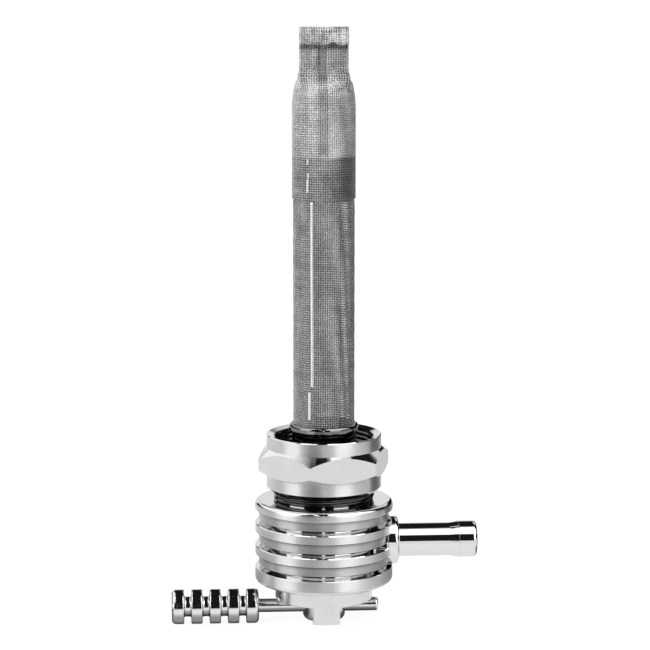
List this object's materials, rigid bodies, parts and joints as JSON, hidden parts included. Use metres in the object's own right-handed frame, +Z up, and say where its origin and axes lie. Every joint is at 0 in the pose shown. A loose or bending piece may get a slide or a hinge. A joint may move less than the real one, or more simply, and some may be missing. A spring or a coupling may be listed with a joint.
{
  "type": "fuel tap",
  "caption": "Round finned fuel tap with a threaded union nut, a side hose spigot, a tall mesh strainer and a turning lever with a grooved knob.",
  "frame": {"origin": "centre of the union nut's open mouth, on the valve's axis, where the tank's threaded bung enters", "axes": "+Z up the valve's axis into the tank, +X along the hose spigot, -Y towards the lever stop; the lever's knob lies at -X at rest (off)"},
  "size_m": [0.0667, 0.03, 0.1297],
  "materials": {
    "chromed_body": "polished chrome on turned aluminium, satin on the fins' bands",
    "chromed_nut": "polished chrome, finely turned collars",
    "chromed_ferrule": "polished",
    "chromed_spigot": "polished",
    "chromed_knob": "polished",
    "polished_rod": "polished",
    "rotor_steel": "fine turned",
    "steel_mesh": "fine woven wire",
    "brass_tube": "drawn",
    "gasket_rubber": "matt",
    "seal_rubber": "matt",
    "seal_plastic": "smooth white sealing plastic",
    "washer_plastic": "smooth natural plastic",
    "pin_steel": "ground",
    "spring_steel": "spring temper",
    "washer_steel": "stamped"
  },
  "bodies": {
    "valve": {"valve_body": "chromed_body", "tank_gasket": "gasket_rubber", "strainer_ferrule": "chromed_ferrule", "strainer_tube": "steel_mesh", "strainer_cap": "steel_mesh", "standpipe": "brass_tube", "outlet_spigot": "chromed_spigot", "spigot_o_ring": "seal_rubber", "port_seal": "seal_plastic", "port_seal_pins": "pin_steel", "thrust_washer": "washer_plastic", "wave_spring": "spring_steel", "retaining_washer": "washer_steel", "snap_ring": "spring_steel"},
    "nut": {"union_nut": "chromed_nut"},
    "lever": {"rotor": "rotor_steel", "upper_o_ring": "seal_rubber", "lower_o_ring": "seal_rubber", "lever_rod": "polished_rod", "lever_knob": "chromed_knob"}
  },
  "joints": [
    {"name": "nut_turn", "type": "hinge", "parent": "valve", "child": "nut", "pos_m": [0, 0, -0.0085], "axis": [0, 0, 1], "continuous": true},
    {"name": "lever_turn", "type": "hinge", "parent": "valve", "child": "lever", "pos_m": [0, 0, -0.03835], "axis": [0, 0, 1], "range_deg": [-60, 60]}
  ]
}
